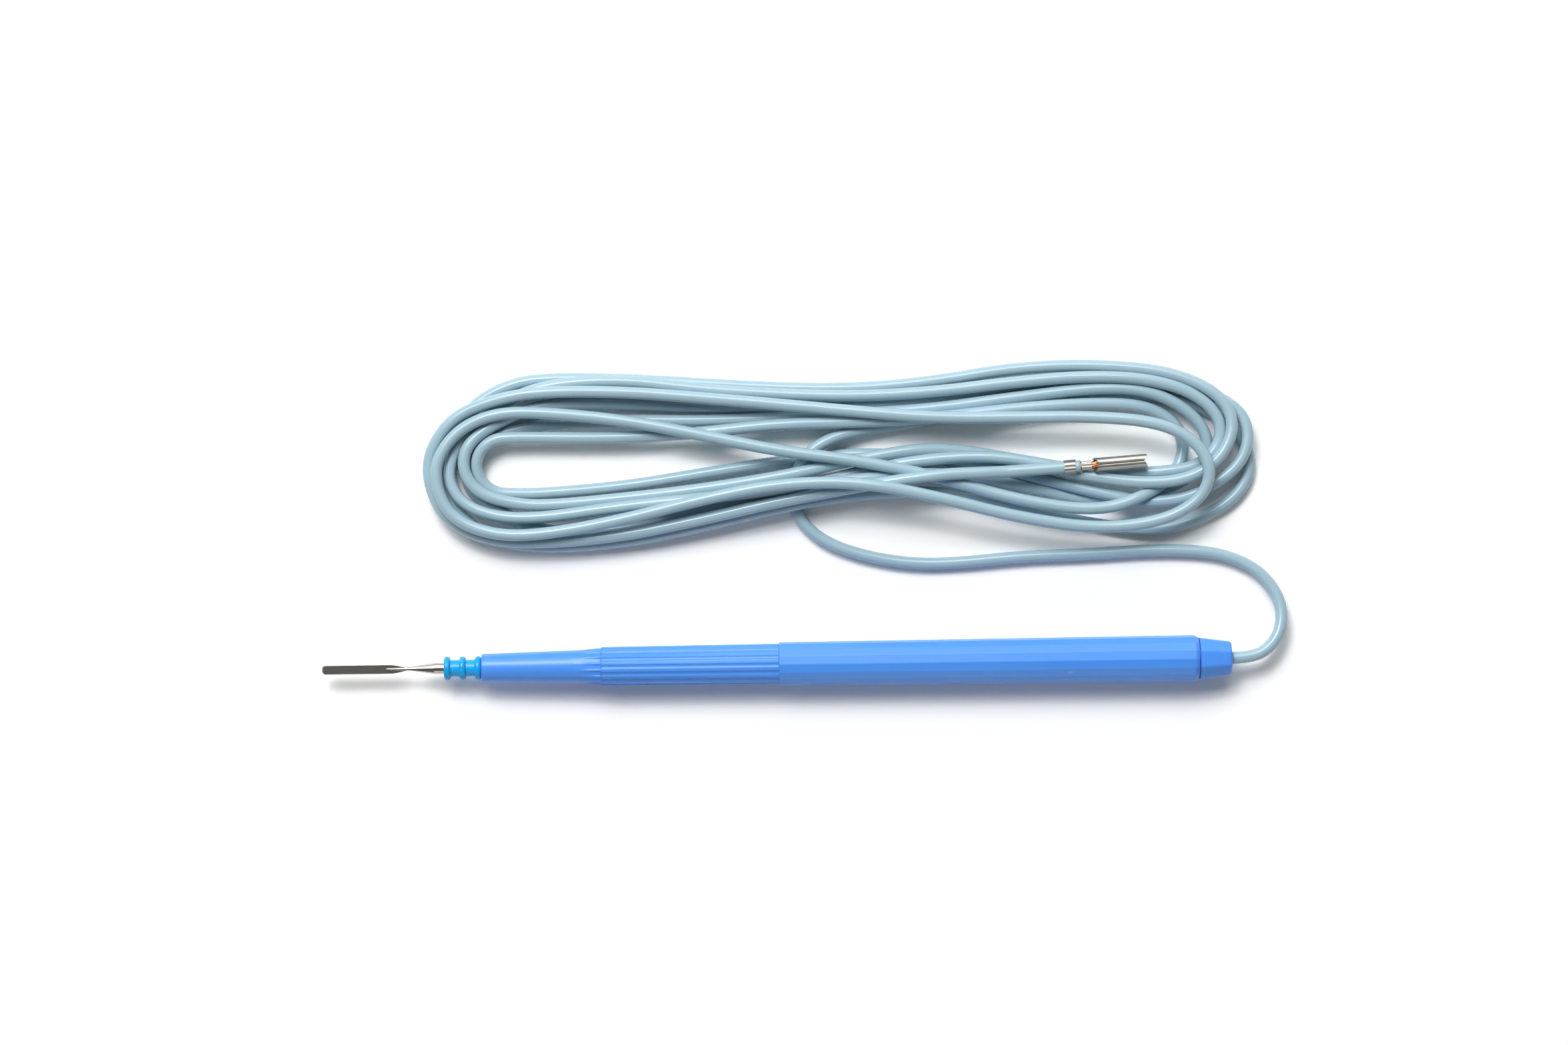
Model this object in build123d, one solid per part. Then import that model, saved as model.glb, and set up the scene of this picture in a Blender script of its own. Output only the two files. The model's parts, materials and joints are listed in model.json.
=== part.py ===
# Electrosurgical pencil with a blade electrode, a fluted grip, a faceted barrel and a hanked cord.
# Millimetres. The pencil lies along X with its tip at -X, +Z is up and the floor is z = 0.
# Stations along the pencil are measured from the front edge of the nose, positive towards the cord.
import os
from math import pi, radians, tan

from build123d import *

# Electrode: round shank, necked down and coined flat into a blade
SHANK_R = 1.18
SHANK_INSIDE = 27.0
SHANK_CHAMFER = 0.3
BLADE_TIP = 34.2
BLADE_WIDTH = 2.0
BLADE_THICKNESS = 0.36
BLADE_CORNER_R = 0.75
BLADE_EDGE_ROUND = 0.1
BLADE_END = 19.6
TONGUE_START = 21.2
NECK_STATION = 15.1
NECK_R = 0.435
NECK_WEB_HALF = 0.35
CONE_END = 10.2

# Collar on the shank: three rings in front of the nose and a plug inside it
COLLAR_R = 1.8
COLLAR_RING_R = 2.55
COLLAR_RING_WIDTH = 1.36
COLLAR_RING_ROUND = 0.6
COLLAR_RINGS = 3
COLLAR_RING_PITCH = 3.3
COLLAR_STANDOFF = 0.1
COLLAR_PLUG = 4.2
COLLAR_FIT = 0.01

# Nose and fluted grip, one moulding
NOSE_LENGTH = 25.7
NOSE_FRONT_R = 3.0
NOSE_REAR_R = 3.66
NOSE_EDGE = 0.2
FLARE_LENGTH = 0.95
FLARE_R = 3.86
GRIP_LENGTH = 38.0
GRIP_FRONT_R = 4.16
GRIP_REAR_R = 4.36
FLUTES = 16
FLUTE_CUTTER_R = 0.75
FLUTE_DEPTH = 0.2
RIDGE_RUNOUT = 3.7
RIDGE_BURIED = 1.5
RIDGE_R = 0.35
RIDGE_TOP_R = 3.98
PLUG_BORE_CLEARANCE = 0.06
PLUG_END_CLEARANCE = 0.2
WEB_THICKNESS = 1.8
SHANK_HOLE_CLEARANCE = 0.12
SPIGOT_LENGTH = 12.0
SPIGOT_CLEARANCE = 0.05

# Brass socket inside the nose
SOCKET_R = 1.75
SOCKET_BORE_CLEARANCE = 0.02
SOCKET_END_CLEARANCE = 0.5
SOCKET_CHAMBER_R = 2.3
SOCKET_FLANGE_R = 2.85
SOCKET_FLANGE_THICKNESS = 1.5
SOCKET_FLANGE_CLEARANCE = 0.03
SOCKET_SLIT = 0.3
SOCKET_SLIT_LENGTH = 12.0
SOCKET_GAP = 0.5
CRIMP_BARREL_R = 1.3
CRIMP_BARREL_LENGTH = 8.5
CRIMP_BARREL_WEB = 1.0
CLIP_R = 2.2
CLIP_WIDTH = 2.5
CLIP_SETBACK = 4.0
CLIP_OPENING = 60
CLIP_CLEARANCE = 0.02

# Barrel and end cap
BARREL_LENGTH = 89.8
BARREL_FRONT_R = 4.65
BARREL_REAR_R = 4.97
BARREL_BORE_R = 3.7
BARREL_FACETS = 16
BARREL_FRONT_BEVEL = 0.12
BARREL_REAR_BEVEL_LENGTH = 0.75
BARREL_REAR_BEVEL_DROP = 0.45
CAP_GAP = 0.27
CAP_LENGTH = 6.8
CAP_FRONT_R = 4.4
CAP_REAR_R = 3.48
CAP_FACETS = 8
CAP_FACET_ROUND = 0.9
CAP_END_ROUND = 0.7
CAP_PLUG_LENGTH = 11.0
CORD_HOLE_CLEARANCE = 0.08

# Cord and the stop ring that takes its pull
CORD_R = 1.3
CONDUCTOR_R = 0.6
STOP_R = 2.3
STOP_LENGTH = 6.5
STOP_CHAMFER = 0.4
STOP_FIT = 0.01

# Rolled crimp contact on the cord's far end; lengths run from its insulation crimp towards its mouth
SHEET = 0.32
CRIMP_WALL = 0.22
INSULATION_CRIMP_LENGTH = 2.45
INSULATION_STUB_END = 3.55
CONDUCTOR_CRIMP_START = 3.75
CONDUCTOR_CRIMP_END = 5.9
SLEEVE_START = 6.6
SLEEVE_END = 17.8
SLEEVE_R = 1.45
SLEEVE_SLANT = 0.55
SEAM_WIDTH = 0.1
SEAM_VALLEY_R = 0.8
SEAM_VALLEY_DEPTH = 0.14
MOUTH_NOTCH_R = 0.45
STRIP_WIDTH = 1.5
STRAND_END = 6.0
CRIMP_FIT = 0.02
TERMINAL_PLACE = (62.0, 41.25, 7.0)
TERMINAL_HEADING = 4.2

# Hank of cord: outline and the two eyes of its loops, through points chosen round the turns
HANK_HEIGHT = 5.2
HANK_EDGE = 1.2
HANK_OUTLINE = [
    (-75.7, 44.0), (-66.0, 58.0), (-46.4, 63.3), (3.0, 60.4), (43.0, 62.6), (70.0, 64.8),
    (92.0, 60.2), (103.6, 45.5), (93.5, 29.8), (72.0, 25.4), (45.0, 31.5), (14.0, 34.4),
    (-16.0, 28.8), (-48.0, 24.4), (-67.0, 28.6),
]
LEFT_EYE = [(-62.5, 43.8), (-52.0, 47.9), (-14.4, 47.2), (-7.6, 44.3), (-25.0, 41.2), (-52.0, 38.8)]
RIGHT_EYE = [(20.5, 48.2), (38.0, 50.5), (78.0, 50.2), (85.0, 45.6), (75.0, 41.6), (48.0, 45.4)]

# Routes of the free cord: straight runs whose corners are rounded as far as the runs allow
RUN_SHARE = 0.45
LEAD_STRAIGHT = 4.6
LEAD_ROUTE = [
    (106.1, 2.3, 4.5), (108.6, 6.7, 3.6), (108.4, 12.0, 2.6), (105.7, 16.7, 1.8), (101.4, 20.2, 1.4),
    (94.0, 22.8, 1.3), (82.0, 23.4, 1.3), (67.5, 22.6, 1.3), (53.0, 22.3, 1.3), (41.0, 21.2, 1.3),
    (30.5, 20.9, 1.3), (20.0, 22.6, 1.3), (11.2, 25.6, 1.3), (5.8, 30.0, 1.3), (3.6, 35.4, 1.3),
    (4.4, 40.6, 1.3),
]
TAIL_ROUTE = [(27.0, 37.8, 3.6), (35.5, 39.6, 4.5), (44.5, 40.3, 6.1), (53.5, 40.75, 7.0)]

# Stations and radii that follow from the sizes above
GRIP_END = NOSE_LENGTH + GRIP_LENGTH
BARREL_END = GRIP_END + BARREL_LENGTH
CAP_START = BARREL_END + CAP_GAP
CAP_END = CAP_START + CAP_LENGTH
SPIGOT_R = BARREL_BORE_R - SPIGOT_CLEARANCE
CAP_PLUG_START = BARREL_END - CAP_PLUG_LENGTH
PLUG_BORE_END = COLLAR_PLUG + PLUG_END_CLEARANCE
WEB_END = PLUG_BORE_END + WEB_THICKNESS
SOCKET_START = WEB_END + SOCKET_GAP
SOCKET_BORE_END = SHANK_INSIDE + SOCKET_END_CLEARANCE
FLANGE_START = SOCKET_BORE_END - SOCKET_FLANGE_THICKNESS
FLANGE_BORE_R = SOCKET_FLANGE_R + SOCKET_FLANGE_CLEARANCE
CRIMP_BORE_START = SOCKET_BORE_END + CRIMP_BARREL_WEB
CRIMP_BARREL_END = SOCKET_BORE_END + CRIMP_BARREL_LENGTH
SLEEVE_BORE_R = SLEEVE_R - SHEET
AXIS_HEIGHT = max(BARREL_FRONT_R, BARREL_REAR_R)
ON_FLOOR = Pos((BLADE_TIP - CAP_END) / 2, 0, AXIS_HEIGHT)
CORD_EXIT = (ON_FLOOR * Pos(CAP_END, 0, 0)).position


def turned(*outline):
    """Solid of revolution about the pencil's axis, from (station, radius) points."""
    return revolve(make_face(Polyline(*outline, close=True)), Axis.X)


def rod(radius, start, end):
    """Round bar on the pencil's axis between two stations."""
    return turned((start, 0), (start, radius), (end, radius), (end, 0))


def slanted_rod(radius, start, end):
    """Round bar between two points."""
    line = Vector(*end) - Vector(*start)
    return extrude(Plane(origin=start, z_dir=line) * Circle(radius), amount=line.length)


def around(count, shape, first_angle=0.0):
    """Copies of a shape, evenly spaced about the pencil's axis."""
    return [Rot(first_angle + k * 360 / count, 0, 0) * shape for k in range(count)]


def polygon_section(station, radius, sides, across_corners=True):
    """Regular polygon across the pencil's axis, with a corner or a side on top."""
    plane = Plane(origin=(station, 0, 0), x_dir=(0, 1, 0), z_dir=(1, 0, 0))
    turn = 0 if across_corners else 180 / sides
    return plane * RegularPolygon(radius, sides, major_radius=across_corners, rotation=turn)


def make_electrode():
    half = BLADE_WIDTH / 2
    tip = RectangleRounded(BLADE_TIP - BLADE_END + 2 * BLADE_CORNER_R, BLADE_WIDTH, BLADE_CORNER_R)
    flat = Pos(-(BLADE_TIP + BLADE_END) / 2 + BLADE_CORNER_R, 0, 0) * tip
    upper = Spline((-BLADE_END, half), (-NECK_STATION, NECK_WEB_HALF), tangents=[(1, 0), (1, 0)])
    lower = Spline((-BLADE_END, -half), (-NECK_STATION, -NECK_WEB_HALF), tangents=[(1, 0), (1, 0)])
    front = Line((-BLADE_END, -half), (-BLADE_END, half))
    back = Line((-NECK_STATION, -NECK_WEB_HALF), (-NECK_STATION, NECK_WEB_HALF))
    taper = make_face([upper.edge(), back.edge(), lower.edge(), front.edge()])
    keep = Pos(-(BLADE_TIP + BLADE_END) / 2, 0, 0) * Rectangle(BLADE_TIP - BLADE_END, BLADE_WIDTH)
    blade = extrude((flat & keep) + taper, amount=BLADE_THICKNESS / 2, both=True)
    on_rim = [e for e in blade.edges() if e.length > BLADE_THICKNESS and e.center().X < -NECK_STATION]
    blade = fillet([e for e in on_rim if abs(e.center().Z) > BLADE_THICKNESS / 4], BLADE_EDGE_ROUND)
    shank = turned(
        (-TONGUE_START, 0), (-TONGUE_START, BLADE_THICKNESS / 2), (-NECK_STATION, NECK_R),
        (-CONE_END, SHANK_R), (SHANK_INSIDE - SHANK_CHAMFER, SHANK_R),
        (SHANK_INSIDE, SHANK_R - SHANK_CHAMFER), (SHANK_INSIDE, 0),
    )
    return shank + blade


def make_electrode_collar():
    ring = fillet(Cylinder(COLLAR_RING_R, COLLAR_RING_WIDTH).edges(), COLLAR_RING_ROUND)
    first = -COLLAR_STANDOFF - COLLAR_RING_WIDTH / 2
    centres = [first - k * COLLAR_RING_PITCH for k in range(COLLAR_RINGS)]
    body = rod(COLLAR_R, centres[-1], COLLAR_PLUG)
    rings = [Pos(x, 0, 0) * Rot(0, 90, 0) * ring for x in centres]
    return body + rings - rod(SHANK_R + COLLAR_FIT, -BLADE_TIP, SHANK_INSIDE)


def make_front_grip():
    flare_start = NOSE_LENGTH - FLARE_LENGTH
    nose = Polyline(
        (0, 0), (0, NOSE_FRONT_R - NOSE_EDGE), (NOSE_EDGE, NOSE_FRONT_R), (flare_start, NOSE_REAR_R)
    )
    slope = (flare_start - NOSE_EDGE, NOSE_REAR_R - NOSE_FRONT_R)
    flare = TangentArc((flare_start, NOSE_REAR_R), (NOSE_LENGTH, FLARE_R), tangent=slope)
    spigot_end = GRIP_END + SPIGOT_LENGTH
    rear = Polyline(
        (NOSE_LENGTH, FLARE_R), (NOSE_LENGTH, GRIP_FRONT_R), (GRIP_END, GRIP_REAR_R),
        (GRIP_END, SPIGOT_R), (spigot_end, SPIGOT_R), (spigot_end, 0), (0, 0),
    )
    body = revolve(make_face([*nose.edges(), flare.edge(), *rear.edges()]), Axis.X)

    ridge_length = RIDGE_RUNOUT + RIDGE_BURIED
    ridge_drop = (RIDGE_TOP_R - NOSE_REAR_R) / RIDGE_RUNOUT * ridge_length
    ridge_axis = RIDGE_TOP_R - RIDGE_R
    ridge = slanted_rod(
        RIDGE_R, (NOSE_LENGTH - ridge_length, 0, ridge_axis - ridge_drop), (NOSE_LENGTH, 0, ridge_axis)
    )
    body = body + around(FLUTES, ridge, 180 / FLUTES)

    lift = FLUTE_CUTTER_R - FLUTE_DEPTH
    cutter = slanted_rod(
        FLUTE_CUTTER_R, (NOSE_LENGTH, 0, GRIP_FRONT_R + lift), (GRIP_END, 0, GRIP_REAR_R + lift)
    )
    body = body - around(FLUTES, cutter)

    body = body - rod(COLLAR_R + PLUG_BORE_CLEARANCE, 0, PLUG_BORE_END)
    body = body - rod(SHANK_R + SHANK_HOLE_CLEARANCE, 0, WEB_END)
    body = body - rod(SOCKET_CHAMBER_R, WEB_END, FLANGE_START)
    return body - rod(FLANGE_BORE_R, FLANGE_START, spigot_end)


def make_barrel():
    rear_bevel = BARREL_END - BARREL_REAR_BEVEL_LENGTH
    front_bevel = GRIP_END + BARREL_FRONT_BEVEL
    sections = [
        (GRIP_END, BARREL_FRONT_R - BARREL_FRONT_BEVEL), (front_bevel, BARREL_FRONT_R),
        (rear_bevel, BARREL_REAR_R), (BARREL_END, BARREL_REAR_R - BARREL_REAR_BEVEL_DROP),
    ]
    faces = [polygon_section(x, r, BARREL_FACETS) for x, r in sections]
    return loft(faces, ruled=True) - rod(BARREL_BORE_R, GRIP_END, BARREL_END)


def make_end_cap():
    front = polygon_section(CAP_START, CAP_FRONT_R, CAP_FACETS, across_corners=False)
    back = polygon_section(CAP_END, CAP_REAR_R, CAP_FACETS, across_corners=False)
    head = loft([front, back], ruled=True)
    corners = head.edges().filter_by(lambda e: abs(e.tangent_at(0).X) > 0.5)
    head = fillet(corners, CAP_FACET_ROUND)
    head = fillet(head.faces().sort_by(Axis.X)[-1].edges(), CAP_END_ROUND)
    plug = rod(SPIGOT_R, CAP_PLUG_START, CAP_START)
    return head + plug - rod(CORD_R + CORD_HOLE_CLEARANCE, CAP_PLUG_START, CAP_END)


def make_socket_contact():
    body = turned(
        (SOCKET_START, 0), (SOCKET_START, SOCKET_R), (FLANGE_START, SOCKET_R),
        (FLANGE_START, SOCKET_FLANGE_R), (SOCKET_BORE_END, SOCKET_FLANGE_R),
        (SOCKET_BORE_END, CRIMP_BARREL_R), (CRIMP_BARREL_END, CRIMP_BARREL_R), (CRIMP_BARREL_END, 0),
    )
    body = body - rod(SHANK_R + SOCKET_BORE_CLEARANCE, SOCKET_START, SOCKET_BORE_END)
    body = body - rod(CONDUCTOR_R + CRIMP_FIT, CRIMP_BORE_START, CRIMP_BARREL_END)
    from_front = (Align.MIN, Align.CENTER, Align.CENTER)
    slit = Box(SOCKET_SLIT_LENGTH, 2 * SOCKET_FLANGE_R, SOCKET_SLIT, align=from_front)
    return body - around(4, Pos(SOCKET_START, 0, 0) * slit)[:2]


def make_socket_clip():
    start = SOCKET_START + CLIP_SETBACK
    end = start + CLIP_WIDTH
    inner = SOCKET_R + CLIP_CLEARANCE
    section = make_face(Polyline((start, inner), (start, CLIP_R), (end, CLIP_R), (end, inner), close=True))
    return Rot(CLIP_OPENING / 2, 0, 0) * revolve(section, Axis.X, 360 - CLIP_OPENING)


def make_cord_stop():
    end = CAP_PLUG_START
    start = end - STOP_LENGTH
    ring = turned(
        (start, 0), (start, STOP_R - STOP_CHAMFER), (start + STOP_CHAMFER, STOP_R),
        (end - STOP_CHAMFER, STOP_R), (end, STOP_R - STOP_CHAMFER), (end, 0),
    )
    return ring - rod(CORD_R + STOP_FIT, start, end)


def make_terminal():
    crimp_r = CORD_R + CRIMP_FIT
    strand_r = CONDUCTOR_R + CRIMP_FIT
    outer_step = crimp_r + CRIMP_WALL
    insulation_crimp = rod(outer_step, 0, INSULATION_CRIMP_LENGTH)
    insulation_crimp -= rod(crimp_r, 0, INSULATION_CRIMP_LENGTH)
    conductor_crimp = rod(strand_r + SHEET, CONDUCTOR_CRIMP_START, CONDUCTOR_CRIMP_END)
    sleeve = rod(SLEEVE_R, SLEEVE_START - SLEEVE_SLANT, SLEEVE_END)
    slant = 2 * SLEEVE_R
    wedge = Polyline(
        (SLEEVE_START - slant, -SLEEVE_R), (SLEEVE_START - SLEEVE_SLANT, -SLEEVE_R),
        (SLEEVE_START + SLEEVE_SLANT, SLEEVE_R), (SLEEVE_START - slant, SLEEVE_R), close=True,
    )
    sleeve -= extrude(Plane.XZ * make_face(wedge), amount=slant, both=True)

    inner_step = strand_r + SHEET
    strip_side = Polyline(
        (INSULATION_CRIMP_LENGTH / 2, -outer_step), (INSULATION_STUB_END, -outer_step),
        (CONDUCTOR_CRIMP_START + SHEET, -inner_step), (CONDUCTOR_CRIMP_END, -inner_step),
        (SLEEVE_START + SLEEVE_SLANT, -SLEEVE_R), (SLEEVE_START + SLEEVE_SLANT, -SLEEVE_BORE_R),
        (CONDUCTOR_CRIMP_END, -strand_r), (CONDUCTOR_CRIMP_START + SHEET, -strand_r),
        (INSULATION_STUB_END + SHEET / 4, -crimp_r), (INSULATION_CRIMP_LENGTH / 2, -crimp_r), close=True,
    )
    strip = extrude(Plane.XZ * make_face(strip_side), amount=STRIP_WIDTH / 2, both=True)

    body = insulation_crimp + strip + conductor_crimp + sleeve
    body -= rod(strand_r, CONDUCTOR_CRIMP_START, SLEEVE_START)
    body -= rod(SLEEVE_BORE_R, SLEEVE_START - SLEEVE_SLANT, SLEEVE_END)
    seam = Box(SLEEVE_END, SEAM_WIDTH, outer_step, align=(Align.MIN, Align.CENTER, Align.MIN))
    body -= seam
    for outer_r, start, end in (
        (outer_step, 0, INSULATION_CRIMP_LENGTH),
        (inner_step, CONDUCTOR_CRIMP_START, CONDUCTOR_CRIMP_END),
        (SLEEVE_R, SLEEVE_START - SLEEVE_SLANT, SLEEVE_END),
    ):
        valley_axis = outer_r + SEAM_VALLEY_R - SEAM_VALLEY_DEPTH
        body -= Pos(0, 0, valley_axis) * rod(SEAM_VALLEY_R, start, end)
    notch = Cylinder(MOUTH_NOTCH_R, SLEEVE_R, align=(Align.CENTER, Align.CENTER, Align.MIN))
    return body - Pos(SLEEVE_END, 0, 0) * notch


def spline_face(points):
    return make_face(Spline(*points, periodic=True).edge())


def make_cord_hank():
    flat = spline_face(HANK_OUTLINE) - spline_face(LEFT_EYE) - spline_face(RIGHT_EYE)
    block = extrude(flat, amount=HANK_HEIGHT)
    return fillet(block.faces().sort_by(Axis.Z)[-1].edges(), HANK_EDGE)


def corner_radii(points):
    """Largest arc at each corner that the shorter of its two runs leaves room for."""
    radii = []
    for before, corner, after in zip(points, points[1:], points[2:]):
        run_in = Vector(*corner) - Vector(*before)
        run_out = Vector(*after) - Vector(*corner)
        half_turn = radians(run_in.get_angle(run_out)) / 2
        radii.append(RUN_SHARE * min(run_in.length, run_out.length) / tan(half_turn))
    return radii


def make_tube(name, points):
    radii = corner_radii(points)
    path = FilletPolyline(*points, radius=radii)
    tube = sweep(Plane(origin=path @ 0, z_dir=path % 0) * Circle(CORD_R), path=path)
    expected = pi * CORD_R**2 * path.length
    print(name, "radii", [round(r, 1) for r in radii], "length", round(path.length, 1))
    print(name, "volume", round(tube.volume, 2), "of", round(expected, 2))
    return tube


terminal_place = Location(TERMINAL_PLACE, (0, 0, TERMINAL_HEADING))
stub_start = (terminal_place * Pos(0, 0, 0)).position
stub_end = (terminal_place * Pos(INSULATION_STUB_END, 0, 0)).position
lead_start = CORD_EXIT + Vector(LEAD_STRAIGHT, 0, 0)
inner_cord_start = CRIMP_BARREL_END + CRIMP_BARREL_WEB

parts = {
    "electrode": ON_FLOOR * make_electrode(),
    "electrode_collar": ON_FLOOR * make_electrode_collar(),
    "front_grip": ON_FLOOR * make_front_grip(),
    "barrel": ON_FLOOR * make_barrel(),
    "end_cap": ON_FLOOR * make_end_cap(),
    "socket_contact": ON_FLOOR * make_socket_contact(),
    "socket_clip": ON_FLOOR * make_socket_clip(),
    "inner_conductor": ON_FLOOR * rod(CONDUCTOR_R, CRIMP_BORE_START, inner_cord_start),
    "inner_cord": ON_FLOOR * rod(CORD_R, inner_cord_start, CAP_END),
    "cord_stop": ON_FLOOR * make_cord_stop(),
    "cord_lead": make_tube("cord_lead", [tuple(CORD_EXIT), tuple(lead_start), *LEAD_ROUTE]),
    "cord_hank": make_cord_hank(),
    "cord_tail": make_tube("cord_tail", [*TAIL_ROUTE, tuple(stub_start), tuple(stub_end)]),
    "terminal": terminal_place * make_terminal(),
    "terminal_strands": terminal_place * rod(CONDUCTOR_R, INSULATION_STUB_END, STRAND_END),
}

os.makedirs("parts", exist_ok=True)
for name, shape in parts.items():
    export_step(shape, f"parts/{name}.step")
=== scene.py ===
"""Electrosurgical pencil with its hank of cord, dressed for the camera; lengths are millimetres until MM."""
import json
import math
import bmesh
import bpy
import numpy as np
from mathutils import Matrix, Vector


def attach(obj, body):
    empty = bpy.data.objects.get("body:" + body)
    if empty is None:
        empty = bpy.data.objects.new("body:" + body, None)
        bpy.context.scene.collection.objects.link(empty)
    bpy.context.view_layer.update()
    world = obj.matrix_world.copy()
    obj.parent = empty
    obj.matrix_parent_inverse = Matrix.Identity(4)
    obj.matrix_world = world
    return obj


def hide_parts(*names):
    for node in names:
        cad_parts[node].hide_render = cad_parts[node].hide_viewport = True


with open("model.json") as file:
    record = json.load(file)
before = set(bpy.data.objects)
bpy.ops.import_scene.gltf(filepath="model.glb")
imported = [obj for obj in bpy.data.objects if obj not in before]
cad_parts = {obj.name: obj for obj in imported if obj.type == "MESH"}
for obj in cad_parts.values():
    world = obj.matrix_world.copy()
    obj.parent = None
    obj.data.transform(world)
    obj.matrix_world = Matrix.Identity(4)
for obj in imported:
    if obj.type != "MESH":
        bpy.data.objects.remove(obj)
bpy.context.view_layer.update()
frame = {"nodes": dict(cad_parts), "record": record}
MM = 0.001

# Cord: its exit, the lead to the hank, and the join under it
CORD_R = 1.3
CORD_EXIT = (97.4, 0.0, 4.97)
LEAD = [
    (102.0, 0.0, 4.97), (106.1, 2.3, 4.5), (108.6, 6.7, 3.6), (108.4, 12.0, 2.6), (105.7, 16.7, 1.8),
    (101.4, 20.2, 1.4), (94.0, 22.8, 1.3), (82.0, 23.4, 1.3), (67.5, 22.6, 1.3), (53.0, 22.3, 1.3),
    (41.0, 21.2, 1.3), (30.5, 20.9, 1.3), (20.0, 22.6, 1.3), (11.2, 25.6, 1.3), (5.8, 30.0, 1.3),
    (3.6, 35.4, 1.3), (4.4, 40.6, 1.3),
]
JOIN = [(7.1, 45.0, 1.3), (11.4, 47.9, 1.3)]
# Runs of the hank go right and left by turns, and each is read at these stations along the pencil
STATIONS = (-50, -33, -16, 1, 18, 35, 52, 69)
LAYER = 1.35
# Each run: its distances from the pencil, the bend after it, and how high it lies at left, middle and right
RUNS = [
    ((50.0, 52.3, 55.2, 56.9),
     [(85.8, 56.3), (97.2, 51.5), (102.7, 44.1), (101.7, 37.2), (95.4, 31.4), (83.0, 27.2)], (0, 0, 0)),
    ((28.9, 32.9, 36.7, 36.3, 33.6, 29.6, 26.4, 25.5),
     [(-60.4, 27.2), (-67.4, 32.1), (-71.1, 38.3), (-71.5, 44.8), (-69.2, 51.1), (-63.8, 57.1),
      (-57.0, 60.6)],
     (1, 0.5, 0.5)),
    ((61.9, 61.6, 60.4, 59.2, 58.8, 60.2, 62.9, 63.3),
     [(85.3, 61.6), (95.9, 56.6), (99.0, 49.6), (95.0, 41.8), (85.5, 37.3)], (2, 3, 4)),
    ((38.7, 43.7, 44.0, 40.9, 36.6, 32.8, 28.8, 28.8),
     [(-58.9, 33.4), (-64.7, 37.0), (-66.8, 42.1), (-64.8, 47.4), (-58.6, 50.4)], (1.5, 3, 3.5)),
    ((52.1, 52.8, 52.4, 52.8, 53.5, 54.2, 56.4, 58.4),
     [(80.1, 58.0), (89.2, 53.4), (93.7, 47.2), (91.9, 40.7), (83.4, 35.5)], (2.5, 2.5, 3)),
    ((33.6, 38.1, 40.9, 39.6, 37.4, 35.6, 34.2, 31.9),
     [(-59.6, 32.2), (-66.7, 34.9), (-70.0, 39.9), (-69.4, 45.4), (-65.8, 50.6), (-60.5, 55.6)], (4, 4, 4)),
    ((60.5, 61.4, 59.1, 57.8, 57.1, 57.9, 59.8, 60.9),
     [(84.4, 59.4), (93.2, 55.0), (96.5, 49.3), (94.3, 43.2), (86.9, 39.7)], (4, 4.5, 5)),
    ((40.0, 43.1, 46.0, 43.7, 40.1, 37.6, 35.8, 34.5),
     [(-57.0, 35.3), (-63.5, 37.4), (-66.9, 42.2), (-66.0, 48.0), (-60.3, 52.2)], (5, 3, 3)),
    ((56.6, 56.5, 55.3, 54.8, 55.1, 56.3, 58.8, 59.7),
     [(82.9, 58.8), (93.7, 57.1), (100.3, 53.2), (102.2, 47.4), (99.9, 41.0), (91.2, 35.3), (81.9, 33.4)],
     (1.5, 1.5, 1)),
    ((35.8, 40.5, 43.9, 45.1, 43.4, 40.9, 38.4, 37.2),
     [(-55.5, 37.2), (-60.4, 37.5), (-63.9, 40.9), (-63.9, 45.7), (-60.4, 49.1), (-55.5, 49.3)], (6, 2, 4)),
    ((49.2, 48.9, 49.7, 51.5, 51.6, 52.4, 54.2, 55.1),
     [(80.0, 54.5), (86.4, 50.9), (88.5, 45.4), (86.3, 39.7), (79.6, 34.9)], (5, 5, 2)),
    ((31.7, 34.4, 39.6, 43.3, 45.6, 49.4, 52.8, 54.6),
     [(-59.3, 54.6), (-67.2, 51.5), (-72.3, 45.1), (-72.5, 38.4), (-68.9, 31.8), (-60.3, 28.4)], (9, 9, 7)),
    ((28.3, 31.2, 35.4, 38.6, 38.8, 35.3, 30.7, 28.0),
     [(82.5, 29.4), (90.4, 33.4), (93.5, 39.2), (91.2, 45.6), (83.4, 50.5)], (9.5, 9, 8)),
    ((52.1, 52.1, 52.2, 53.8, 55.6, 57.3, 58.8, 59.0),
     [(-59.3, 57.6), (-68.6, 54.1), (-73.9, 46.9), (-74.3, 39.8), (-70.6, 31.6), (-61.8, 27.3)], (8, 8, 8)),
    ((26.5, 27.8, 31.1, 34.9, 37.8, 40.2), [(47.0, 40.4), (54.1, 40.8)], (6, 6.5, 7.5)),
]

# Tube that follows the cord's spline
SPLINE_STEPS = 12
TUBE_SIDES = 14

# Settling of the cord on the floor and on itself
SINK_STEPS = 150
REST_STEPS = 80
NEAR_EVERY = 12
PUSHES = 3
SINK = 0.2
SINK_LAST = 0.005
STIFF_SINKING = 15000.0
STIFF_RESTING = 600.0
STIFF_LAST = 10.0
ROUTE_SHARE = 0.2
PUSH_SHARES = (0.1, 0.1, 0.24)
NEAR = 3.6
NEAR_BLOCK = 500
LEAST_APART = 0.01
SAME_STRETCH = 14
EDGE = 60
HELD_LEAD = 84
HELD_TAIL = 30

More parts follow.
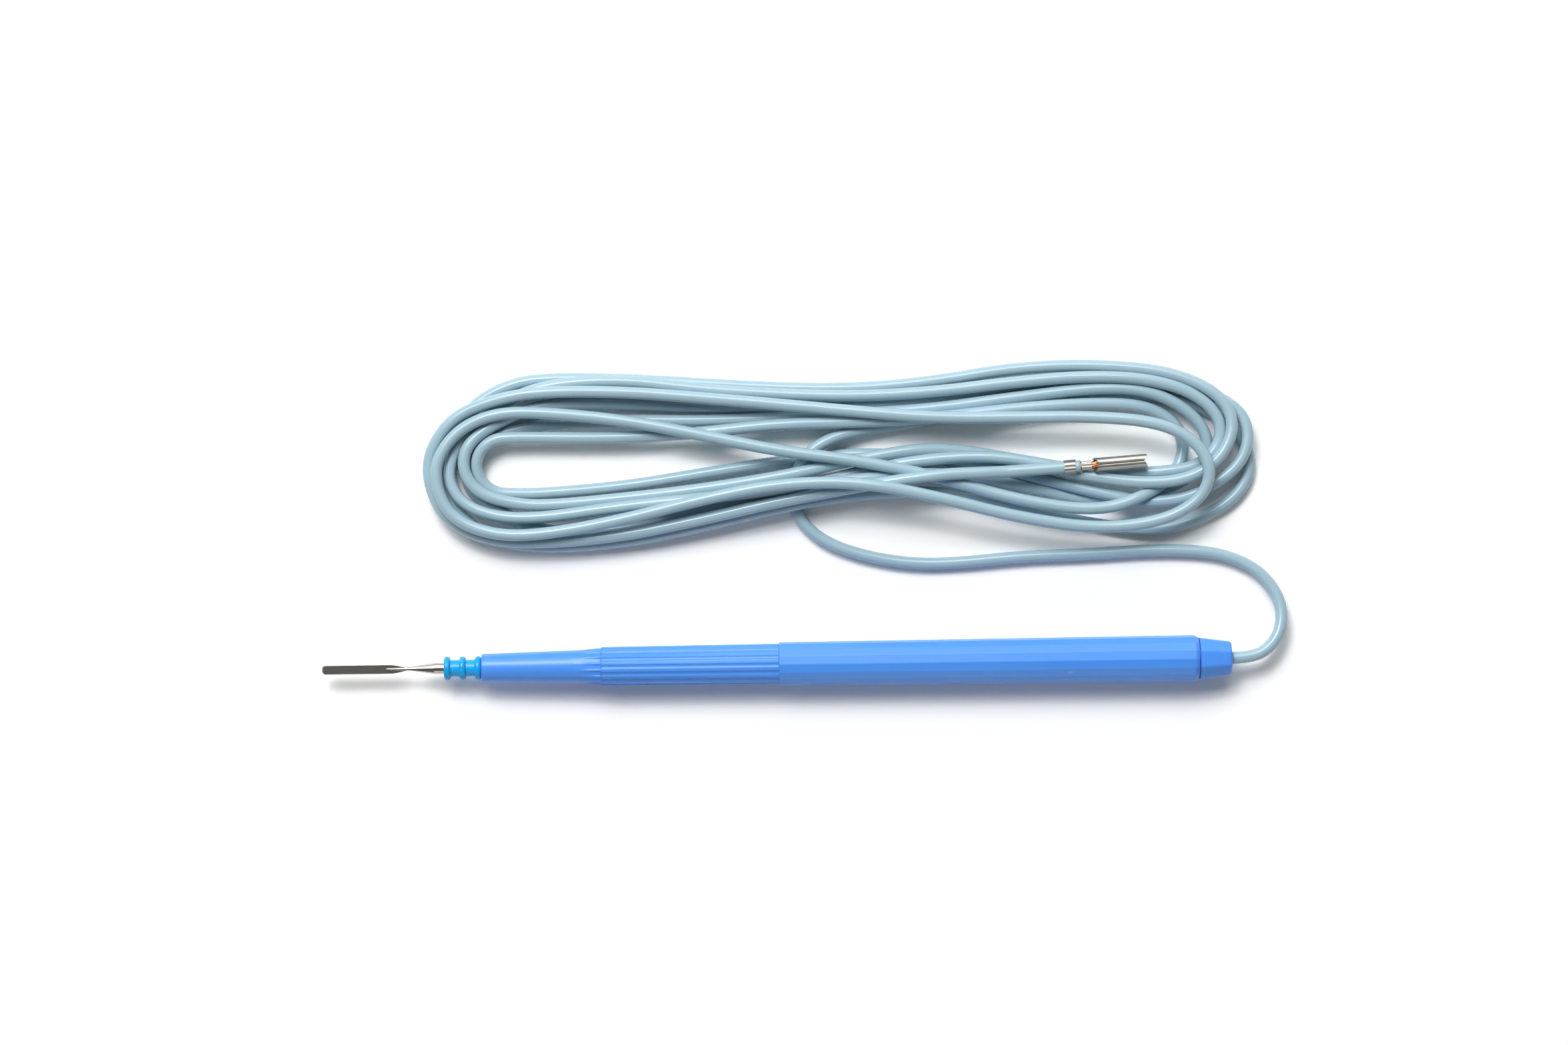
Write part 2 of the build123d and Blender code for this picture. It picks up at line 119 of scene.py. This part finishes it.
# Contact on the cord's far end; its stations are measured along it from the start of the crimp on the jacket
TERMINAL_PLACE = Vector((62.0, 41.25, 7.0))
TERMINAL_HEADING = math.radians(4.2)
CRIMP_R = 1.53
CRIMP_WALL = 0.2
CRIMP_LENGTH = 2.45
CRIMP_START_WAVE = 0.08
CRIMP_END_WAVE = 0.1
STUB_END = 3.55
INNER_CRIMP_R = 0.97
INNER_CRIMP_BORE = 0.6
INNER_CRIMP_START = 3.75
INNER_CRIMP_END = 5.9
SLEEVE_R = 1.45
SLEEVE_WALL = 0.3
SLEEVE_START = 6.6
SLEEVE_SLANT = 0.55
SLEEVE_FLARE = 0.12
SLEEVE_FLARE_LENGTH = 0.5
SLEEVE_END = 17.8
STRIP_REACH = 1.05
STRIP_STEP = 0.4
STRIP_LAP = 0.2
# Each groove or lobe: its angle from the top, its width as an angle, and its depth
MOUTH_DIP = (0.0, 0.55, 0.6)
SLEEVE_SEAM = (0.0, 0.06, 0.45)
SLEEVE_ROLL = (0.0, 0.42, 0.17)
CRIMP_SEAM = (0.0, 0.1, 0.18)
CRIMP_LOBES = (0.5, 0.3, 0.1)
INNER_CRIMP_SEAM = (0.0, 0.2, 0.24)
INNER_CRIMP_SIDES = (0.8, 0.16, 0.14)
CONTACT_SIDES = 64
CONTACT_STEPS = 16
CONTACT_FINER_TOP = 1.7
CONTACT_MERGE = 0.002
CONTACT_SHARP = 40

# Copper strands, with stations as the contact's
STRANDS = 9
STRAND_R = 0.15
STRAND_RING = 0.42
STRAND_FAN = 0.5
STRAND_FAN_FROM = 0.6
STRAND_TWIST = 1.6
STRAND_UNEVEN = 0.16
STRAND_LENGTHS = 3
STRAND_POINTS = 8
STRAND_BEVEL = 3
STRANDS_START = 3.4
STRANDS_END = 7.3

# Finishes, with sharp angles in degrees
NOISE_DETAIL = 3.0
NOISE_SPAN = (0.2, 0.8)
SHARP_ANGLE = 30
SHARP_ANGLES = {"barrel": 12, "front_grip": 20}

# Small scuff on the barrel
SCUFF_PLACE = (62.7, -2.5, 9.1)
SCUFF_SIZE = (0.95, 0.5, 0.5)
SCUFF_FADE = 0.45
SCUFF_GRAIN = 0.6

# Camera, lamps, sky and floor
CAMERA_AIM = (1.98, 30.3, 4.97)
CAMERA_HEIGHT = 900.0
SENSOR_WIDTH = 36.0
PICTURE_WIDTH = 336.0
PICTURE_TILT = math.radians(-0.777)
FLOOR_REACH = 3000.0
FLOOR_WHITE = 0.97
FLOOR_SEEN = 1.12
SKY = 0.12
SKY_OVERHEAD = 0.1
OVERHEAD_SPAN = (0.8, 0.97)
LAMP_AIM = (0, 20, 0)
# Each lamp: where it stands, its width and depth, and its power
LAMPS = {
    "key": ((-400, 1050, 1450), (1500, 900), 30.5),
    "glint": ((-400, 1050, 1450), (320, 200), 5.5),
    "back": ((0, 1800, 750), (1800, 700), 8.0),
    "front": ((300, -1700, 800), (1400, 900), 4.8),
}


def placed(name, data):
    """Object of this data, linked to the scene."""
    obj = bpy.data.objects.new(name, data)
    bpy.context.scene.collection.objects.link(obj)
    return obj


def on_terminal(along, side=0.0, up=0.0):
    """Point in the row frame, given along, beside and above the contact's axis."""
    forward = Vector((math.cos(TERMINAL_HEADING), math.sin(TERMINAL_HEADING), 0))
    left = Vector((-math.sin(TERMINAL_HEADING), math.cos(TERMINAL_HEADING), 0))
    return TERMINAL_PLACE + forward * along + left * side + Vector((0, 0, up))


def cord_route():
    """Control points of the whole cord, with the runs' heights by the order in which they lie."""
    points = [CORD_EXIT, *LEAD, *JOIN]
    for number, (distances, bend, layers) in enumerate(RUNS):
        stations = STATIONS if number % 2 == 0 else STATIONS[::-1]
        stations = stations[-len(distances):] if number == 0 else stations[:len(distances)]
        for x, y in [*zip(stations, distances), *bend]:
            layer = np.interp(x, (STATIONS[0], (STATIONS[0] + STATIONS[-1]) / 2, STATIONS[-1]), layers)
            points.append((x, y, CORD_R + layer * LAYER))
    tail = [(x, y, TERMINAL_PLACE.z) for x, y in RUNS[-1][1]]
    return points[:-len(tail)] + tail + [tuple(TERMINAL_PLACE), tuple(on_terminal(STUB_END))]


def spline_points(points):
    """Points read from the smooth NURBS spline that has these control points."""
    curve = bpy.data.curves.new("cord_route", "CURVE")
    curve.dimensions = "3D"
    curve.resolution_u = SPLINE_STEPS
    spline = curve.splines.new("NURBS")
    spline.points.add(len(points) - 1)
    for point, place in zip(spline.points, points):
        point.co = (*place, 1)
    spline.order_u = 3
    spline.use_endpoint_u = True
    route = placed("cord_route", curve)
    bpy.context.view_layer.update()
    mesh = bpy.data.meshes.new_from_object(route)
    path = np.array([v.co for v in mesh.vertices])
    bpy.data.objects.remove(route)
    bpy.data.curves.remove(curve)
    bpy.data.meshes.remove(mesh)
    return path


def near_pairs(place):
    """Pairs of points on different stretches of the cord that are near each other seen from above."""
    flat = place[:, :2].astype(np.float32)
    first, second = [], []
    for start in range(0, len(flat), NEAR_BLOCK):
        apart = flat[start:start + NEAR_BLOCK, None, :] - flat[None, :, :]
        a, b = np.nonzero((apart ** 2).sum(2) < NEAR ** 2)
        keep = b > a + start + SAME_STRETCH
        first.append(a[keep] + start)
        second.append(b[keep])
    return np.concatenate(first), np.concatenate(second)


def evened(values, stiff):
    """A row of values, evened out as a stiff cord would be."""
    before = 2 * values[0] - values[EDGE:0:-1]
    after = 2 * values[-1] - values[-2:-EDGE - 2:-1]
    row = np.concatenate([before, values, after])
    wave = 2 * math.pi * np.fft.rfftfreq(len(row))
    kept = 1 / (1 + stiff * (2 - 2 * np.cos(wave)) ** 2)
    return np.fft.irfft(np.fft.rfft(row) * kept, len(row))[EDGE:EDGE + len(values)]


def eased(place, route, stiff, share):
    """The cord with its sideways moves and heights evened out, and a share of the moves taken back."""
    moved = (place - route)[:, :2] * (1 - share)
    across = [route[:, axis] + evened(moved[:, axis], stiff) for axis in range(2)]
    return np.column_stack([*across, evened(place[:, 2], stiff)])


def settle(route):
    """The cord sinks on the floor and on its own turns, and keeps near its route seen from above."""
    place = route.copy()
    count = len(route)
    held = np.r_[0:HELD_LEAD, count - HELD_TAIL:count]
    for step in range(SINK_STEPS + REST_STEPS):
        if step % NEAR_EVERY == 0:
            first, second = near_pairs(place)
        if step < SINK_STEPS:
            place[:, 2] -= SINK * (1 - step / SINK_STEPS) + SINK_LAST
        place = eased(place, route, STIFF_SINKING if step < SINK_STEPS else STIFF_RESTING, ROUTE_SHARE)
        for _ in range(PUSHES):
            apart = place[first] - place[second]
            distance = np.linalg.norm(apart, axis=1)
            push = np.clip(2 * CORD_R - distance, 0, None) / np.maximum(distance, LEAST_APART)
            for axis, share in enumerate(PUSH_SHARES):
                move = apart[:, axis] * push * share
                place[:, axis] += np.bincount(first, move, count) - np.bincount(second, move, count)
            place[:, 2] = np.maximum(place[:, 2], CORD_R)
        place[held] = route[held]
    place = eased(place, route, STIFF_LAST, 0)
    place[:, 2] = np.maximum(place[:, 2], CORD_R)
    place[held] = route[held]
    return place


def tube(name, path, radius, sides):
    """Mesh tube round a path that is nowhere upright, with closed ends; lengths in millimetres."""
    along = np.gradient(path, axis=0)
    along /= np.linalg.norm(along, axis=1)[:, None]
    side = np.cross(along, (0, 0, 1))
    side /= np.linalg.norm(side, axis=1)[:, None]
    up = np.cross(side, along)
    turn = np.arange(sides) * 2 * math.pi / sides
    ring = np.cos(turn)[None, :, None] * side[:, None, :] + np.sin(turn)[None, :, None] * up[:, None, :]
    points = (path[:, None, :] + radius * ring).reshape(-1, 3) * MM
    faces = []
    for i in range(len(path) - 1):
        for k in range(sides):
            n = (k + 1) % sides
            faces.append((i * sides + k, i * sides + n, (i + 1) * sides + n, (i + 1) * sides + k))
    last = (len(path) - 1) * sides
    faces.append(tuple(range(sides - 1, -1, -1)))
    faces.append(tuple(range(last, last + sides)))
    mesh = bpy.data.meshes.new(name)
    mesh.from_pydata(points.tolist(), [], faces)
    mesh.shade_smooth()
    return placed(name, mesh)


def groove(angle, middle, width, depth):
    """Depth of a soft groove along rolled sheet, at an angle from its top."""
    return depth * np.exp(-((angle - middle) / width) ** 2)


def groove_pair(angle, middle, width, depth):
    """Depth of two like grooves, one on each side of the top."""
    return groove(angle, middle, width, depth) + groove(angle, -middle, width, depth)


def sheet(start, end, outer, inner, first=-math.pi, last=math.pi):
    """Points and faces of rolled sheet round the contact; its ends and radii are functions of the angle."""
    shares = np.linspace(-1, 1, CONTACT_SIDES + 1)
    angles = (first + last) / 2 + (last - first) / 2 * np.sign(shares) * np.abs(shares) ** CONTACT_FINER_TOP
    points, faces = [], []
    for step in np.linspace(0, 1, CONTACT_STEPS + 1):
        for radius in (outer, inner):
            for angle in angles:
                along = start(angle) + step * (end(angle) - start(angle))
                reach = radius(angle, along)
                points.append(on_terminal(along, -reach * math.sin(angle), reach * math.cos(angle)) * MM)
    row = CONTACT_SIDES + 1
    open_sides = () if last - first == 2 * math.pi else (0, CONTACT_SIDES)
    for step in range(CONTACT_STEPS):
        for k in range(CONTACT_SIDES):
            for skin in (0, row):
                at = step * 2 * row + skin + k
                faces.append((at, at + 1, at + 2 * row + 1, at + 2 * row))
        for k in open_sides:
            at = step * 2 * row + k
            faces.append((at, at + row, at + 3 * row, at + 2 * row))
    for base in (0, CONTACT_STEPS * 2 * row):
        for k in range(CONTACT_SIDES):
            faces.append((base + k, base + k + 1, base + row + k + 1, base + row + k))
    return points, faces


def contact_sleeve():
    """Rolled sleeve: slanted, flared mouth on the cord's side, seam on top, dipped mouth at its far end."""
    def start(angle):
        return SLEEVE_START + SLEEVE_SLANT * math.cos(angle)

    def end(angle):
        fold = min(abs(angle), math.pi - abs(angle))
        return SLEEVE_END - groove(fold, *MOUTH_DIP)

    def outer(angle, along):
        flare = SLEEVE_FLARE * math.exp(-(along - start(angle)) / SLEEVE_FLARE_LENGTH)
        return SLEEVE_R + flare - groove(angle, *SLEEVE_SEAM) - groove(angle, *SLEEVE_ROLL)

    def inner(angle, along):
        return outer(angle, along) - SLEEVE_WALL
    return sheet(start, end, outer, inner)


def contact_crimp():
    """Two wings of sheet closed round the jacket, with their edges rolled in on top."""
    def start(angle):
        return CRIMP_START_WAVE * math.cos(2 * angle)

    def end(angle):
        return CRIMP_LENGTH - CRIMP_END_WAVE * math.cos(2 * angle)

    def outer(angle, along):
        return CRIMP_R + groove_pair(angle, *CRIMP_LOBES) - groove(angle, *CRIMP_SEAM)

    def inner(angle, along):
        return CRIMP_R - CRIMP_WALL
    return sheet(start, end, outer, inner)


def contact_inner_crimp():
    """Crimp on the bare strands, pressed into lengthwise ridges."""
    def start(angle):
        return INNER_CRIMP_START

    def end(angle):
        return INNER_CRIMP_END

    def outer(angle, along):
        return INNER_CRIMP_R - groove(angle, *INNER_CRIMP_SEAM) - groove_pair(angle, *INNER_CRIMP_SIDES)

    def inner(angle, along):
        return INNER_CRIMP_BORE
    return sheet(start, end, outer, inner)


def contact_strip():
    """Strip of sheet under the stub of jacket and the strands, which joins the two crimps and the sleeve."""
    stations = (
        CRIMP_LENGTH / 2, STUB_END, INNER_CRIMP_START + STRIP_STEP, INNER_CRIMP_END, SLEEVE_START + STRIP_LAP)
    radii = (CRIMP_R, CRIMP_R, INNER_CRIMP_R, INNER_CRIMP_R, SLEEVE_R)

    def start(angle):
        return stations[0]

    def end(angle):
        return stations[-1]

    def outer(angle, along):
        return np.interp(along, stations, radii)

    def inner(angle, along):
        return outer(angle, along) - CRIMP_WALL
    return sheet(start, end, outer, inner, math.pi - STRIP_REACH, math.pi + STRIP_REACH)


def joined(name, shells):
    """One mesh object of several shells, smooth up to the contact's sharp angle."""
    points, faces = [], []
    for shell_points, shell_faces in shells:
        faces += [tuple(i + len(points) for i in face) for face in shell_faces]
        points += shell_points
    work = bmesh.new()
    corners = [work.verts.new(p) for p in points]
    for face in faces:
        work.faces.new([corners[i] for i in face])
    bmesh.ops.remove_doubles(work, verts=work.verts, dist=CONTACT_MERGE * MM)
    bmesh.ops.recalc_face_normals(work, faces=work.faces)
    mesh = bpy.data.meshes.new(name)
    work.to_mesh(mesh)
    work.free()
    mesh.shade_smooth()
    mesh.set_sharp_from_angle(angle=math.radians(CONTACT_SHARP))
    return placed(name, mesh)


def strand_tuft(name):
    """Bare strands, twisted together, that fan out a little and end unevenly in the sleeve's mouth."""
    strands = bpy.data.curves.new(name, "CURVE")
    strands.dimensions = "3D"
    strands.bevel_depth = STRAND_R * MM
    strands.bevel_resolution = STRAND_BEVEL
    strands.use_fill_caps = True
    for number in range(STRANDS):
        line = strands.splines.new("NURBS")
        line.points.add(STRAND_POINTS - 1)
        first_angle = 2 * math.pi * number / STRANDS
        end = STRANDS_END - STRAND_UNEVEN * (number % STRAND_LENGTHS)
        for point, share in zip(line.points, np.linspace(0, 1, STRAND_POINTS)):
            along = STRANDS_START + share * (end - STRANDS_START)
            spread = STRAND_RING + STRAND_FAN * max(0.0, share - STRAND_FAN_FROM)
            angle = first_angle + STRAND_TWIST * share
            place = on_terminal(along, spread * math.cos(angle), spread * math.sin(angle))
            point.co = (*place * MM, 1)
        line.order_u = 3
        line.use_endpoint_u = True
    return placed(name, strands)


def noise(tree, size, stretch=(1, 1, 1)):
    """Noise output whose patches are about this many millimetres, drawn out along the stretched axes."""
    place = tree.nodes.new("ShaderNodeTexCoord")
    scale = tree.nodes.new("ShaderNodeMapping")
    scale.inputs["Scale"].default_value = [1 / (size * MM * k) for k in stretch]
    pattern = tree.nodes.new("ShaderNodeTexNoise")
    pattern.inputs["Scale"].default_value = 1.0
    pattern.inputs["Detail"].default_value = NOISE_DETAIL
    tree.links.new(place.outputs["Object"], scale.inputs["Vector"])
    tree.links.new(scale.outputs["Vector"], pattern.inputs["Vector"])
    return pattern.outputs["Fac"]


def eased_range(tree, value, source, target):
    """Output that goes smoothly over the target range as a value goes over the source range."""
    spread = tree.nodes.new("ShaderNodeMapRange")
    spread.interpolation_type = "SMOOTHSTEP"
    spread.inputs["From Min"].default_value = source[0]
    spread.inputs["From Max"].default_value = source[1]
    spread.inputs["To Min"].default_value = target[0]
    spread.inputs["To Max"].default_value = target[1]
    tree.links.new(value, spread.inputs["Value"])
    return spread.outputs["Result"]


def maths(tree, operation, first, second):
    """Output of one operation on two outputs."""
    node = tree.nodes.new("ShaderNodeMath")
    node.operation = operation
    tree.links.new(first, node.inputs[0])
    tree.links.new(second, node.inputs[1])
    return node.outputs["Value"]


def colour_mix(tree, factor, other):
    """Node that mixes its open colour with another by a factor."""
    blend = tree.nodes.new("ShaderNodeMix")
    blend.data_type = "RGBA"
    blend.inputs["B"].default_value = (*other, 1)
    tree.links.new(factor, blend.inputs["Factor"])
    return blend


def scuff(tree):
    """Mask of the one small scuff on the barrel: 1 in its middle and 0 outside, broken up by noise."""
    place = tree.nodes.new("ShaderNodeTexCoord")
    local = tree.nodes.new("ShaderNodeMapping")
    local.vector_type = "TEXTURE"
    local.inputs["Location"].default_value = [c * MM for c in SCUFF_PLACE]
    local.inputs["Scale"].default_value = [c * MM for c in SCUFF_SIZE]
    distance = tree.nodes.new("ShaderNodeVectorMath")
    distance.operation = "LENGTH"
    tree.links.new(place.outputs["Object"], local.inputs["Vector"])
    tree.links.new(local.outputs["Vector"], distance.inputs[0])
    fade = eased_range(tree, distance.outputs["Value"], (SCUFF_FADE, 1.0), (1.0, 0.0))
    broken = eased_range(tree, noise(tree, SCUFF_GRAIN), NOISE_SPAN, (0, 1))
    return maths(tree, "MULTIPLY", fade, broken)


def finish(
        name, colours, patch, rough, rough_patch, grain, grain_height, stretch=(1, 1, 1), edge=0.0,
        rubbed=None, **constants):
    """Material of two colours and two roughnesses in patches, with a grain, softened edges and a scuff."""
    mat = bpy.data.materials.new(name)
    mat.use_nodes = True
    tree = mat.node_tree
    shader = tree.nodes["Principled BSDF"]
    for socket, value in constants.items():
        shader.inputs[socket.replace("_", " ")].default_value = value
    blend = colour_mix(tree, eased_range(tree, noise(tree, patch, stretch), NOISE_SPAN, (0, 1)), colours[1])
    blend.inputs["A"].default_value = (*colours[0], 1)
    if rubbed:
        paler = colour_mix(tree, scuff(tree), rubbed)
        tree.links.new(blend.outputs["Result"], paler.inputs["A"])
        blend = paler
    tree.links.new(blend.outputs["Result"], shader.inputs["Base Color"])
    roughness = eased_range(tree, noise(tree, rough_patch, stretch), NOISE_SPAN, rough)
    tree.links.new(roughness, shader.inputs["Roughness"])
    bump = tree.nodes.new("ShaderNodeBump")
    bump.inputs["Distance"].default_value = grain_height * MM
    tree.links.new(noise(tree, grain, stretch), bump.inputs["Height"])
    if edge:
        soft = tree.nodes.new("ShaderNodeBevel")
        soft.inputs["Radius"].default_value = edge * MM
        tree.links.new(soft.outputs["Normal"], bump.inputs["Normal"])
    tree.links.new(bump.outputs["Normal"], shader.inputs["Normal"])
    return mat


# Finishes by the record's material slots; patches, grains and edges are millimetres
MATERIALS = {
    "handle_blue": finish(
        "moulded_blue", colours=((0.086, 0.328, 0.975), (0.096, 0.343, 1.0)), patch=9.0,
        rough=(0.285, 0.325), rough_patch=8.0, grain=0.5, grain_height=0.0004, stretch=(5, 1, 1), edge=0.3,
        rubbed=(0.2, 0.47, 1.0), Specular_IOR_Level=0.42, Subsurface_Weight=0.3, Subsurface_Scale=MM,
        Subsurface_Radius=(0.3, 0.8, 1.5)),
    "collar_cyan": finish(
        "moulded_cyan", colours=((0.01, 0.37, 0.84), (0.018, 0.41, 0.88)), patch=3.0,
        rough=(0.2, 0.26), rough_patch=2.0, grain=0.4, grain_height=0.0006, edge=0.15,
        Specular_IOR_Level=0.35),
    "blade_steel": finish(
        "satin_steel", colours=((0.54, 0.485, 0.435), (0.57, 0.515, 0.46)), patch=2.5,
        rough=(0.22, 0.26), rough_patch=2.0, grain=0.3, grain_height=0.0002, stretch=(2, 1, 1),
        Metallic=1.0),
    "socket_brass": finish(
        "turned_brass", colours=((0.74, 0.53, 0.21), (0.8, 0.6, 0.27)), patch=1.5,
        rough=(0.285, 0.38), rough_patch=0.5, grain=0.15, grain_height=0.003, stretch=(1, 4, 4),
        Metallic=1.0),
    "spring_steel": finish(
        "drawn_steel", colours=((0.46, 0.46, 0.46), (0.54, 0.54, 0.54)), patch=1.5,
        rough=(0.285, 0.38), rough_patch=0.5, grain=0.15, grain_height=0.003, stretch=(1, 4, 4),
        Metallic=1.0),
    "copper": finish(
        "bare_copper", colours=((0.8, 0.33, 0.16), (0.9, 0.44, 0.25)), patch=0.6,
        rough=(0.285, 0.4), rough_patch=0.3, grain=0.1, grain_height=0.002,
        Metallic=1.0),
    "cord_jacket": finish(
        "soft_jacket", colours=((0.36, 0.525, 0.61), (0.385, 0.545, 0.63)), patch=8.0,
        rough=(0.16, 0.21), rough_patch=9.0, grain=0.6, grain_height=0.0002,
        Specular_IOR_Level=0.5),
    "tinned_contact": finish(
        "tinned_sheet", colours=((0.47, 0.45, 0.405), (0.55, 0.53, 0.475)), patch=1.2,
        rough=(0.36, 0.44), rough_patch=1.0, grain=0.3, grain_height=0.0006, stretch=(2, 1, 1),
        Metallic=1.0),
}


def dress_nodes():
    """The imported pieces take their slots' finishes and are smooth up to their sharp angles."""
    for subpart in frame["record"]["subparts"]:
        node = frame["nodes"][subpart["node"]]
        node.data.materials.clear()
        node.data.materials.append(MATERIALS[subpart["material_slot"]])
        node.data.shade_smooth()
        sharp = SHARP_ANGLES.get(subpart["node"], SHARP_ANGLE)
        node.data.set_sharp_from_angle(angle=math.radians(sharp))


def floor_paint():
    """White paint for the floor, brighter where the camera, a reflection or clear plastic shows it."""
    mat = bpy.data.materials.new("floor_white")
    mat.use_nodes = True
    tree = mat.node_tree
    tree.nodes.clear()
    output = tree.nodes.new("ShaderNodeOutputMaterial")
    either = tree.nodes.new("ShaderNodeMixShader")
    for number, white in enumerate((FLOOR_WHITE, FLOOR_SEEN)):
        paint = tree.nodes.new("ShaderNodeBsdfDiffuse")
        paint.inputs["Color"].default_value = (white, white, white, 1)
        tree.links.new(paint.outputs[0], either.inputs[1 + number])
    rays = tree.nodes.new("ShaderNodeLightPath")
    seen = maths(tree, "MAXIMUM", rays.outputs["Is Camera Ray"], rays.outputs["Is Glossy Ray"])
    seen = maths(tree, "MAXIMUM", seen, rays.outputs["Is Transmission Ray"])
    tree.links.new(seen, either.inputs[0])
    tree.links.new(either.outputs[0], output.inputs["Surface"])
    return mat


def white_floor():
    """Large square floor under the part."""
    reach = FLOOR_REACH * MM
    mesh = bpy.data.meshes.new("floor")
    corners = [(-reach, -reach, 0), (reach, -reach, 0), (reach, reach, 0), (-reach, reach, 0)]
    mesh.from_pydata(corners, [], [(0, 1, 2, 3)])
    mesh.materials.append(floor_paint())
    return placed("floor", mesh)


def studio_sky():
    """Dim white surroundings, a little darker overhead."""
    world = bpy.data.worlds.new("studio")
    bpy.context.scene.world = world
    world.use_nodes = True
    tree = world.node_tree
    sky = tree.nodes["Background"]
    sky.inputs["Color"].default_value = (1, 1, 1, 1)
    direction = tree.nodes.new("ShaderNodeTexCoord")
    parts = tree.nodes.new("ShaderNodeSeparateXYZ")
    tree.links.new(direction.outputs["Generated"], parts.inputs["Vector"])
    strength = eased_range(tree, parts.outputs["Z"], OVERHEAD_SPAN, (SKY, SKY_OVERHEAD))
    tree.links.new(strength, sky.inputs["Strength"])


def lamp(name, place, size, power):
    """Soft lamp of a width and depth, placed in millimetres and aimed at the part."""
    light = bpy.data.lights.new(name, "AREA")
    light.shape = "RECTANGLE"
    light.size = size[0] * MM
    light.size_y = size[1] * MM
    light.energy = power
    obj = placed(name, light)
    obj.location = Vector(place) * MM
    obj.rotation_euler = (Vector(LAMP_AIM) - Vector(place)).to_track_quat("-Z", "Y").to_euler()


def camera_above():
    """Camera that looks straight down, turned a little as the photograph is."""
    data = bpy.data.cameras.new("camera")
    data.sensor_width = SENSOR_WIDTH
    data.lens = SENSOR_WIDTH * CAMERA_HEIGHT / PICTURE_WIDTH
    camera = placed("camera", data)
    camera.location = Vector((CAMERA_AIM[0], CAMERA_AIM[1], CAMERA_AIM[2] + CAMERA_HEIGHT)) * MM
    camera.rotation_euler = (0, 0, PICTURE_TILT)
    return camera


dress_nodes()

path = settle(spline_points(cord_route()))
cord = tube("cord", path, CORD_R, TUBE_SIDES)
cord.data.materials.append(MATERIALS["cord_jacket"])
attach(cord, "handle")
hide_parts("cord_lead", "cord_hank", "cord_tail")

copper_strands = strand_tuft("copper_strands")
copper_strands.data.materials.append(MATERIALS["copper"])
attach(copper_strands, "handle")
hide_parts("terminal_strands")

contact = joined("crimp_contact", [contact_sleeve(), contact_crimp(), contact_inner_crimp(), contact_strip()])
contact.data.materials.append(MATERIALS["tinned_contact"])
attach(contact, "handle")
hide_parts("terminal")

white_floor()
studio_sky()
for lamp_name, (lamp_place, lamp_size, lamp_power) in LAMPS.items():
    lamp(lamp_name, lamp_place, lamp_size, lamp_power)
bpy.context.scene.camera = camera_above()
bpy.context.scene.view_settings.view_transform = "Standard"
